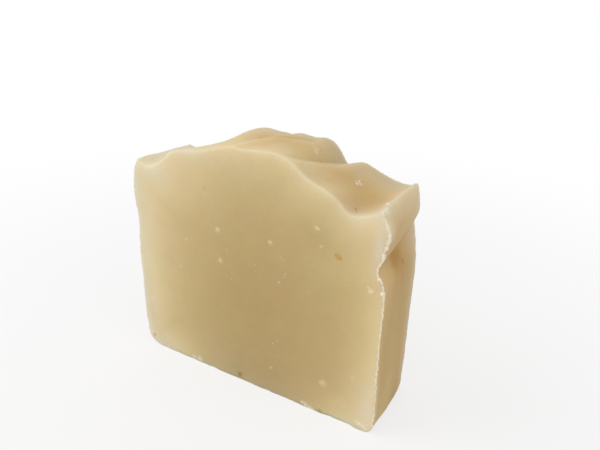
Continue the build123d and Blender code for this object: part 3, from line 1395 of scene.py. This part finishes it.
@dataclass
class PaleGrains:
    """Grains of dry soap: placed where the photograph shows them, strewn on the unseen faces.

    Attributes:
        placed: the grains that show most, and the crumbs on the slope and the torn edge.
        density: how many grains lie in a square metre of the back cut and the left wall.
        facing: the least share of a face's direction that counts as the back or the left.
        smallest, largest: the widths of the strewn grains.
        narrowest: the least breadth of a grain, as a share of its width.
        sunk: how far under the skin its middle lies, as a share of its depth.
        unevenness: how far a grain's outline strays.
        fineness: how fine that is, in waves to the metre.
        halo: how pale the soap is right round a placed grain.
        halo_reach: how far that reaches, in grain widths.
        seed: fixes where the strewn grains lie.
        narrowing_seed: fixes which grains are narrow.
    """

    placed: tuple[Grain, ...] = (
        front_grain(-11.1, 53.3, 1.8),
        front_grain(-23.9, 46.6, 1.1),
        front_grain(-10.4, 42.9, 1.6),
        front_grain(8.3, 54.2, 1.5),
        front_grain(23.7, 62.8, 1.7),
        front_grain(24.4, 62.4, 1.1),
        front_grain(25.3, 57.5, 0.9),
        front_grain(-34.5, 37.8, 0.9),
        front_grain(2.9, 45.3, 0.7, GrainKind.FAINT),
        front_grain(13.7, 45.3, 1.1, GrainKind.FAINT),
        front_grain(13.4, 44.2, 0.9, GrainKind.FAINT),
        front_grain(11.6, 41.8, 1.5, GrainKind.FAINT),
        front_grain(-6.2, 37.4, 0.8, GrainKind.FAINT),
        front_grain(9.7, 19.2, 1.1, GrainKind.FAINT),
        front_grain(11.4, 20.8, 1.0, GrainKind.FAINT),
        front_grain(9.0, 9.7, 1.6, GrainKind.FAINT),
        front_grain(-29.3, 57.8, 0.8),
        front_grain(-36.4, 58.0, 0.6),
        front_grain(-37.6, 29.3, 0.6),
        front_grain(-26.9, 35.9, 0.7),
        front_grain(21.6, 41.7, 0.6, GrainKind.FAINT),
        front_grain(28.3, 10.7, 1.2, GrainKind.FAINT),
        Grain((43.2, -13.3, 52.5), 1.2, GrainKind.CRUMB),
        Grain((44.9, -13.2, 48.4), 1.6, GrainKind.CRUMB),
        Grain((28.2, 1.1, 72.2), 0.9, GrainKind.CRUMB),
        Grain((28.5, 2.4, 72.2), 0.8, GrainKind.CRUMB),
        Grain((27.8, 3.4, 72.4), 0.7, GrainKind.CRUMB),
        Grain((29.3, 1.9, 71.8), 0.7, GrainKind.CRUMB),
        Grain((28.0, 4.6, 72.5), 0.5, GrainKind.CRUMB),
        Grain((41.9, -8.7, 72.6), 1.2, GrainKind.CRUMB),
    )
    density: float = 3800.0
    facing: float = 0.7
    smallest: float = 0.5 * MM
    largest: float = 1.1 * MM
    narrowest: float = 0.6
    sunk: float = 0.22
    unevenness: float = 0.12 * MM
    fineness: float = 1600.0
    halo: float = 0.3
    halo_reach: float = 0.65
    seed: int = 7
    narrowing_seed: int = 3

    def build(
        self, skin: bpy.types.Object, material: bpy.types.Material
    ) -> list[bpy.types.Object]:
        """Makes the placed and the strewn grains.

        Args:
            skin: the bar's skin, which the grains lie in.
            material: the grains' material.

        Returns:
            The two new pieces.
        """
        carrier = self._carrier(skin)
        values = {"Unevenness": self.unevenness, "Material": material}
        placed = self._placed_tree().run(carrier, "placed_grains", values)
        bpy.data.objects.remove(carrier)
        values |= {
            "Density": self.density,
            "Smallest": self.smallest,
            "Largest": self.largest,
            "Flatness": GrainKind.FAINT.flatness,
            "Seed": self.seed,
        }
        strewn = self._strewn_tree().run(skin, "strewn_grains", values)
        self._paint_halos(skin)
        return [placed, strewn]

    def _paint_halos(self, skin: bpy.types.Object) -> None:
        """Makes the skin paler round the placed grains, in the crust's share.

        Args:
            skin: the bar's skin, which is changed.
        """
        places = np.empty(len(skin.data.vertices) * 3, np.float32)
        skin.data.vertices.foreach_get("co", places)
        places = places.reshape(-1, 3).astype(float)
        share = np.zeros(len(places))
        for grain in (grain for grain in self.placed if grain.kind is GrainKind.INLAID):
            gaps = np.linalg.norm(places - np.array(grain.place) * MM, axis=1)
            fade = np.exp(-((gaps / (self.halo_reach * grain.width * MM)) ** 2))
            share = np.maximum(share, self.halo * fade)
        crust = skin.data.attributes["crust_and_painted_light_share"].data
        before = np.empty(len(places), np.float32)
        crust.foreach_get("value", before)
        crust.foreach_set("value", np.maximum(before, share).astype(np.float32))

    def _carrier(self, skin: bpy.types.Object) -> bpy.types.Object:
        """Sets each placed grain's point on the skin, with its sizes and its way out.

        Args:
            skin: the bar's skin.

        Returns:
            The points, as one object.
        """
        found = [skin.closest_point_on_mesh(Vector(grain.place) * MM)[1:3] for grain in self.placed]
        points = bpy.data.meshes.new("grain_places")
        points.from_pydata([place for place, _ in found], [], [])
        outward = points.attributes.new("outward", "FLOAT_VECTOR", "POINT")
        outward.data.foreach_set("vector", [part for _, normal in found for part in normal])
        for name, values in (
            ("width", [grain.width * MM for grain in self.placed]),
            ("flatness", [grain.kind.flatness for grain in self.placed]),
            ("whiteness", [grain.kind.whiteness for grain in self.placed]),
        ):
            points.attributes.new(name, "FLOAT", "POINT").data.foreach_set("value", values)
        return put_in_scene("grain_places", points)

    def _placed_tree(self) -> GeometryTree:
        """Builds the tree that sets one grain at each placed point.

        Returns:
            The tree.
        """
        made = GeometryTree("grains_at_their_places")
        unevenness = made.size("Unevenness")
        material = made.size("Material", "Material")
        width, flatness = (made.nodes.stored(name) for name in ("width", "flatness"))
        outward = made.nodes.stored("outward", "FLOAT_VECTOR")
        points = made.start.outputs[0]
        made.finish(self._grains(made, points, outward, width, flatness, unevenness), material)
        return made

    def _strewn_tree(self) -> GeometryTree:
        """Builds the tree that strews grains over the back cut and the left wall.

        Returns:
            The tree.
        """
        made = GeometryTree("grains_strewn_over_the_skin")
        nodes = made.nodes
        names = ("Density", "Smallest", "Largest", "Flatness", "Unevenness")
        density, smallest, largest, flatness, unevenness = (made.size(name) for name in names)
        seed = made.size("Seed", "Int")
        material = made.size("Material", "Material")
        normal = nodes.add("GeometryNodeInputNormal").outputs[0]
        facing = nodes.add("ShaderNodeSeparateXYZ", in0=normal).outputs
        more, less = (
            {"data_type": "FLOAT", "operation": way} for way in ("GREATER_THAN", "LESS_THAN")
        )
        back = nodes.add("FunctionNodeCompare", more, in0=facing[1], in1=self.facing).outputs[0]
        left = nodes.add("FunctionNodeCompare", less, in0=facing[0], in1=-self.facing).outputs[0]
        either = nodes.add("FunctionNodeBooleanMath", {"operation": "OR"}, in0=back, in1=left)
        strewn = nodes.add(
            "GeometryNodeDistributePointsOnFaces",
            {"distribute_method": "RANDOM"},
            Mesh=made.start.outputs[0],
            Selection=either.outputs[0],
            Density=density,
            Seed=seed,
        )
        width = nodes.random(smallest, largest, seed)
        points, outward = strewn.outputs["Points"], strewn.outputs["Normal"]
        made.finish(self._grains(made, points, outward, width, flatness, unevenness), material)
        return made

    def _grains(
        self,
        made: GeometryTree,
        points: Socket,
        outward: Socket,
        width: Socket,
        flatness: Socket,
        unevenness: Socket,
    ) -> Socket:
        """Sets a flat, turned and uneven grain at each point.

        Args:
            made: the tree.
            points: the points.
            outward: the way out of the soap at each point.
            width: each grain's width.
            flatness: each grain's depth, as a share of its width.
            unevenness: how far a grain's outline strays.

        Returns:
            The socket of the grains.
        """
        nodes = made.nodes
        ball, down = nodes.ball(), (0.0, 0.0, -self.sunk)
        sunk = nodes.add("GeometryNodeTransform", Geometry=ball, Translation=down).outputs[0]
        flat = nodes.add("FunctionNodeAlignRotationToVector", {"axis": "Z"}, Vector=outward)
        upright = (0.0, 0.0, 1.0)
        angle = nodes.random(0.0, math.tau)
        turn = nodes.add("FunctionNodeAxisAngleToRotation", Axis=upright, Angle=angle).outputs[0]
        own = {"rotation_space": "LOCAL"}
        turned = nodes.add("FunctionNodeRotateRotation", own, in0=flat.outputs[0], in1=turn)
        narrow = nodes.random(self.narrowest, 1.0, self.narrowing_seed)
        size = nodes.add(
            "ShaderNodeCombineXYZ",
            in0=width,
            in1=nodes.math("MULTIPLY", width, narrow),
            in2=nodes.math("MULTIPLY", width, flatness),
        )
        laid = nodes.add(
            "GeometryNodeInstanceOnPoints",
            Points=points,
            Instance=sunk,
            Rotation=turned.outputs[0],
            Scale=size.outputs[0],
        )
        real = nodes.add("GeometryNodeRealizeInstances", Geometry=laid.outputs[0]).outputs[0]
        move = nodes.stray(self.fineness, unevenness, 0)
        return nodes.add("GeometryNodeSetPosition", Geometry=real, Offset=move).outputs[0]


@dataclass
class TornEdge:
    """The ragged burr that the cutter left along the front edge of the right wall.

    Attributes:
        thickness: the burr's mean thickness.
        flare: how much thicker it is at the lip, as a share.
        flare_height, flare_reach: where along the edge that is, and how far it fades.
        unevenness: how far its thickness changes, as a share.
        thinnest: its least thickness, as a share of the mean.
        wander: how far its line strays from the edge.
        raggedness: how far its surface is torn in and out.
        girth_waves, wander_waves, tear_waves: how fine these three are, in waves to the metre.
        crumb_spacing: the way from crumb to crumb on it.
        smallest, largest: the crumbs' widths.
        crumb_breadth, crumb_depth: their other two sizes, as shares of the width.
        inset: how far its line lies inside the front cut and the wall at its mean thickness.
        step, sides: the length of the burr's own squares, and how many go round it.
        corner_step: the least way between two points that its line is drawn through.
        cut_slack: how far inside the front cut an edge may lie and still count as on it.
        lowest: the height at which it starts.
        front_top, ridge_foot: where its line leaves the front cut and where the ridge starts.
        ridge_end: how far back it follows the ridge, in Y.
        wall_from: the least X of the right wall's edges, as a share of the box.
        seed: fixes how it is torn.
    """

    thickness: float = 0.46 * MM
    flare: float = 1.05
    flare_height: float = 63.5 * MM
    flare_reach: float = 6.0 * MM
    unevenness: float = 0.65
    thinnest: float = 0.5
    wander: float = 0.4 * MM
    raggedness: float = 0.25 * MM
    girth_waves: float = 1100.0
    wander_waves: float = 650.0
    tear_waves: float = 1300.0
    crumb_spacing: float = 6.3 * MM
    smallest: float = 0.4 * MM
    largest: float = 1.0 * MM
    crumb_breadth: float = 0.6
    crumb_depth: float = 0.8
    inset: float = 0.12 * MM
    step: float = 0.25 * MM
    sides: int = 8
    corner_step: float = 0.3 * MM
    cut_slack: float = 0.05 * MM
    lowest: float = 3.0 * MM
    front_top: float = 70.0 * MM
    ridge_foot: float = 68.0 * MM
    ridge_end: float = -12.5 * MM
    wall_from: float = 0.85
    seed: int = 11

    def build(self, edges: list[Vector], material: bpy.types.Material) -> bpy.types.Object:
        """Makes the burr.

        Args:
            edges: points along the bar's edges.
            material: the burr's material.

        Returns:
            The new piece.
        """
        carrier = self._path(edges)
        values = {
            "Thickness": self.thickness,
            "Unevenness": self.unevenness,
            "Wander": self.wander,
            "Raggedness": self.raggedness,
            "Crumb Spacing": self.crumb_spacing,
            "Smallest": self.smallest,
            "Largest": self.largest,
            "Seed": self.seed,
            "Material": material,
        }
        burr = self._tree().run(carrier, "torn_edge", values)
        bpy.data.objects.remove(carrier)
        return burr

    def _path(self, edges: list[Vector]) -> bpy.types.Object:
        """Draws the burr's line along the edge, a little inside the soap.

        Args:
            edges: points along the bar's edges.

        Returns:
            The line's object.
        """
        low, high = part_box(NODE)
        line: list[Vector] = []
        for point in sorted(self._beside(edges, low.y + self.cut_slack), key=lambda edge: edge.z):
            far_enough = not line or (point - line[-1]).length > self.corner_step
            if point.x > self.wall_from * high.x and far_enough:
                line.append(point)
        girths = [self._girth(point.z) for point in line]
        inside = Vector((-self.inset, self.inset, 0))
        places = [point + inside * girth for point, girth in zip(line, girths)]
        path = bpy.data.meshes.new("edge_path")
        path.from_pydata(places, [(index, index + 1) for index in range(len(line) - 1)], [])
        path.attributes.new("girth", "FLOAT", "POINT").data.foreach_set("value", girths)
        return put_in_scene("edge_path", path)

    def _beside(self, edges: list[Vector], front: float) -> list[Vector]:
        """Picks the edge points that the burr may follow.

        Args:
            edges: points along the bar's edges.
            front: the Y up to which a point lies on the front cut.

        Returns:
            The points on the front cut, then those on the ridge.
        """
        on_front = [p for p in edges if p.y < front and self.lowest < p.z < self.front_top]
        on_ridge = [p for p in edges if front <= p.y < self.ridge_end and p.z > self.ridge_foot]
        return on_front + on_ridge

    def _girth(self, height: float) -> float:
        """How thick the burr is at a height, as a share of its mean thickness."""
        return 1 + self.flare * math.exp(-(((height - self.flare_height) / self.flare_reach) ** 2))

    def _tree(self) -> GeometryTree:
        """Builds the tree that lays a ragged rope along a line, with crumbs on it.

        Returns:
            The tree.
        """
        made = GeometryTree("burr_along_an_edge")
        nodes = made.nodes
        names = ("Thickness", "Unevenness", "Wander", "Raggedness", "Crumb Spacing")
        thickness, unevenness, wander, raggedness, spacing = (made.size(name) for name in names)
        smallest = made.size("Smallest")
        largest = made.size("Largest")
        seed = made.size("Seed", "Int")
        material = made.size("Material", "Material")

        by_length = {"mode": "LENGTH"}
        line = nodes.add("GeometryNodeMeshToCurve", Mesh=made.start.outputs[0]).outputs[0]
        fine = nodes.add("GeometryNodeResampleCurve", by_length, Curve=line, Length=self.step)
        stray = nodes.stray(self.wander_waves, wander, seed)
        strayed = nodes.add("GeometryNodeSetPosition", Geometry=fine.outputs[0], Offset=stray)
        curve = strayed.outputs[0]
        rope = self._rope(nodes, curve, thickness, unevenness, raggedness, seed)
        points = nodes.add("GeometryNodeCurveToPoints", by_length, Curve=curve, Length=spacing)
        crumbs = self._crumbs(nodes, points.outputs[0], nodes.random(smallest, largest, seed), seed)
        joined = nodes.add("GeometryNodeJoinGeometry")
        for part in (rope, crumbs):
            made.tree.links.new(part, joined.inputs[0])
        made.finish(joined.outputs[0], material)
        return made

    def _rope(
        self,
        nodes: Nodes,
        curve: Socket,
        thickness: Socket,
        unevenness: Socket,
        raggedness: Socket,
        seed: Socket,
    ) -> Socket:
        """Lays an uneven, torn rope along a curve.

        Args:
            nodes: the nodes of the tree.
            curve: the curve.
            thickness: the rope's mean thickness.
            unevenness: how far its thickness changes, as a share.
            raggedness: how far its surface is torn in and out.
            seed: fixes how it is torn.

        Returns:
            The rope's socket.
        """
        wave = nodes.seeded_noise(self.girth_waves, seed).outputs[0]
        swing = nodes.math("MULTIPLY", nodes.math("SUBTRACT", wave, 0.5), unevenness)
        uneven = nodes.math("MULTIPLY_ADD", swing, NOISE_GAIN, 1.0)
        scale = nodes.math("MAXIMUM", uneven, self.thinnest)
        girth = nodes.stored("girth")
        mean = nodes.math("MULTIPLY", thickness, 0.5)
        radius = nodes.math("MULTIPLY", nodes.math("MULTIPLY", mean, scale), girth)
        section = {"Resolution": self.sides, "Radius": 1.0}
        ring = nodes.add("GeometryNodeCurvePrimitiveCircle", **section).outputs[0]
        sizes = {"Scale": radius, "Fill_Caps": True}
        rope = nodes.add("GeometryNodeCurveToMesh", in0=curve, in1=ring, **sizes).outputs[0]
        tear = nodes.stray(self.tear_waves, nodes.math("MULTIPLY", raggedness, girth), seed)
        return nodes.add("GeometryNodeSetPosition", Geometry=rope, Offset=tear).outputs[0]

    def _crumbs(self, nodes: Nodes, points: Socket, width: Socket, seed: Socket) -> Socket:
        """Sets a crumb at each point, turned any way.

        Args:
            nodes: the nodes of the tree.
            points: the points.
            width: each crumb's width.
            seed: fixes how the crumbs are turned.

        Returns:
            The socket of the crumbs.
        """
        turn = nodes.add(
            "FunctionNodeRandomValue",
            {"data_type": "FLOAT_VECTOR"},
            in0=(0.0,) * 3,
            in1=(math.tau,) * 3,
            Seed=seed,
        )
        size = nodes.add(
            "ShaderNodeCombineXYZ",
            in0=width,
            in1=nodes.math("MULTIPLY", width, self.crumb_breadth),
            in2=nodes.math("MULTIPLY", width, self.crumb_depth),
        )
        crumbs = nodes.add(
            "GeometryNodeInstanceOnPoints",
            Points=points,
            Instance=nodes.ball(),
            Rotation=turn.outputs[0],
            Scale=size.outputs[0],
        )
        return crumbs.outputs[0]


@dataclass(frozen=True)
class Viewpoint:
    """The camera that took the photograph, as fitted to the bar's straight edges.

    Attributes:
        azimuth, elevation, roll: its turn in degrees.
        focal_px: its focal length in the photograph's pixels.
        place: where it stands, in millimetres.
        nearest, furthest: the distances between which it sees.
    """

    azimuth: float = 30.129
    elevation: float = 24.067
    roll: float = 1.741
    focal_px: float = 617.217
    place: Triple = (97.597, -150.07, 132.88)
    nearest: float = 0.01
    furthest: float = 20.0

    def build(self) -> bpy.types.Object:
        """Makes the camera and gives it to the scene.

        Returns:
            The camera.
        """
        back = way_out(self.azimuth, self.elevation)
        level = (-back).cross(Vector((0, 0, 1))).normalized()
        upright = level.cross(-back)
        roll = math.radians(self.roll)
        right = level * math.cos(roll) + upright * math.sin(roll)
        up = upright * math.cos(roll) - level * math.sin(roll)
        lens = bpy.data.cameras.new("camera")
        lens.sensor_width = SENSOR_WIDTH_MM
        lens.lens = self.focal_px * SENSOR_WIDTH_MM / PHOTO_WIDTH_PX
        lens.clip_start = self.nearest
        lens.clip_end = self.furthest
        camera = put_in_scene("camera", lens)
        turned = Matrix((right, up, back)).transposed().to_4x4()
        turned.translation = Vector(self.place) * MM
        camera.matrix_world = turned
        bpy.context.scene.camera = camera
        return camera


@dataclass(frozen=True)
class Lamp:
    """A soft box lamp that faces the bar.

    Attributes:
        name: what it is for.
        azimuth, elevation: where it stands round the bar, in degrees.
        distance: how far off it stands.
        width: how wide its face is.
        power: its power in watts.
    """

    name: str
    azimuth: float
    elevation: float
    distance: float
    width: float
    power: float

    def build(self, target: Vector) -> bpy.types.Object:
        """Makes the lamp.

        Args:
            target: the place that it is turned to.

        Returns:
            The lamp.
        """
        away = way_out(self.azimuth, self.elevation)
        light = bpy.data.lights.new(self.name, "AREA")
        light.shape = "DISK"
        light.size = self.width
        light.energy = self.power
        lamp = put_in_scene(self.name, light)
        lamp.location = target + away * self.distance
        lamp.rotation_mode = "QUATERNION"
        lamp.rotation_quaternion = away.to_track_quat("Z", "Y")
        return lamp


@dataclass(frozen=True)
class Studio:
    """A pale floor, a white surround and soft lamps.

    Attributes:
        dome: how bright the surround is as a lamp.
        floor_colour: the floor's colour.
        floor_roughness: how dull the floor is.
        floor_shine: how strongly it mirrors, as the shader counts it.
        floor_width: how wide the floor is.
        paper_reach: how far from the bar the floor's own shading gives way to plain white.
        paper_start: where it starts to, as a share of that.
        paper_glow: the share of plain white that the camera sees right at the bar.
        lamps: the soft boxes.
    """

    dome: float = 0.6
    floor_colour: Colour = (0.84, 0.84, 0.84, 1.0)
    floor_roughness: float = 0.9
    floor_shine: float = 0.2
    floor_width: float = 6.0
    paper_reach: float = 0.3
    paper_start: float = 0.25
    paper_glow: float = 0.7
    lamps: tuple[Lamp, ...] = (
        Lamp("left_box", azimuth=-60, elevation=45, distance=0.9, width=0.7, power=2.6),
        Lamp("back_left_box", azimuth=-140, elevation=30, distance=0.9, width=0.6, power=0.35),
        Lamp("back_box", azimuth=-172, elevation=5, distance=1.0, width=0.8, power=1.6),
        Lamp("right_box", azimuth=75, elevation=35, distance=1.1, width=0.7, power=1.05),
        Lamp("front_box", azimuth=15, elevation=15, distance=1.0, width=0.8, power=1.9),
    )

    def build(self) -> bpy.types.Object:
        """Makes the floor, the surround and the lamps.

        Returns:
            The floor.
        """
        low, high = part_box(NODE)
        for lamp in self.lamps:
            lamp.build((low + high) / 2)
        self._surround()
        return self._floor()

    def _surround(self) -> None:
        """Makes a dome of even light that shows as plain white."""
        world = bpy.data.worlds.new("surround")
        world.use_nodes = True
        bpy.context.scene.world = world
        nodes = Nodes(world.node_tree)
        light = world.node_tree.nodes["Background"]
        light.inputs["Color"].default_value = WHITE
        light.inputs["Strength"].default_value = self.dome
        white = nodes.add("ShaderNodeBackground", Color=WHITE, Strength=1.0)
        path = nodes.add("ShaderNodeLightPath")
        seen = nodes.math("MAXIMUM", path.outputs["Is Camera Ray"], path.outputs["Is Glossy Ray"])
        seen = nodes.math("MAXIMUM", seen, path.outputs["Is Transmission Ray"])
        mix = nodes.add("ShaderNodeMixShader", in0=seen, in1=light.outputs[0], in2=white.outputs[0])
        end = world.node_tree.nodes["World Output"]
        world.node_tree.links.new(mix.outputs[0], end.inputs["Surface"])

    def _floor(self) -> bpy.types.Object:
        """Makes a wide pale floor at the bar's base.

        Returns:
            The floor.
        """
        half = self.floor_width / 2
        corners = [(-half, -half, 0), (half, -half, 0), (half, half, 0), (-half, half, 0)]
        mesh = bpy.data.meshes.new("floor")
        mesh.from_pydata(corners, [], [(0, 1, 2, 3)])
        mesh.materials.append(self._paper())
        floor = put_in_scene("floor", mesh)
        return floor

    def _paper(self) -> bpy.types.Material:
        """Builds the floor's material: paper that gives way to plain white further off.

        Returns:
            The material.
        """
        paper, nodes, shader = blank_material("floor_paper")
        shader.inputs["Base Color"].default_value = self.floor_colour
        shader.inputs["Roughness"].default_value = self.floor_roughness
        shader.inputs["Specular IOR Level"].default_value = self.floor_shine
        gap = nodes.vector("LENGTH", nodes.place()).outputs["Value"]
        far = nodes.ramp(gap, self.paper_start * self.paper_reach, self.paper_reach)
        share = nodes.math("MULTIPLY_ADD", far, 1 - self.paper_glow, self.paper_glow)
        white = nodes.add("ShaderNodeEmission", Color=WHITE, Strength=1.0).outputs[0]
        camera_ray = nodes.add("ShaderNodeLightPath").outputs["Is Camera Ray"]
        seen = nodes.math("MULTIPLY", share, camera_ray)
        mix = nodes.add("ShaderNodeMixShader", in0=seen, in1=shader.outputs[0], in2=white)
        end = paper.node_tree.nodes["Material Output"]
        paper.node_tree.links.new(mix.outputs[0], end.inputs["Surface"])
        return paper


def seat(piece: bpy.types.Object) -> None:
    """Lets a piece ride on the bar's body, and reports it.

    Args:
        piece: the piece.
    """
    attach(piece, BODY)
    log.info("%s: %d faces", piece.name, len(piece.data.polygons))


def main() -> None:
    """Builds the bar, its grains and crumbs, and the studio round it."""
    logging.basicConfig(level=logging.INFO, format="%(name)s %(message)s")
    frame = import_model()
    scene = bpy.context.scene
    scene.view_settings.view_transform = "Standard"

    bar = SoapBar()
    skin = bar.build(frame["nodes"][NODE])
    skin.data.materials.append(SoapFinish().material("soap_skin"))
    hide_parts(NODE)
    seat(skin)

    grain_finish = PaleSoapFinish(srgb(209, 189, 139)).material("dry_soap_grain")
    for piece in PaleGrains().build(skin, grain_finish):
        seat(piece)

    burr_finish = PaleSoapFinish(srgb(243, 229, 204)).material("torn_soap")
    seat(TornEdge().build(bar.edges, burr_finish))

    Studio().build()
    Viewpoint().build()


if __name__ == "__main__":
    main()
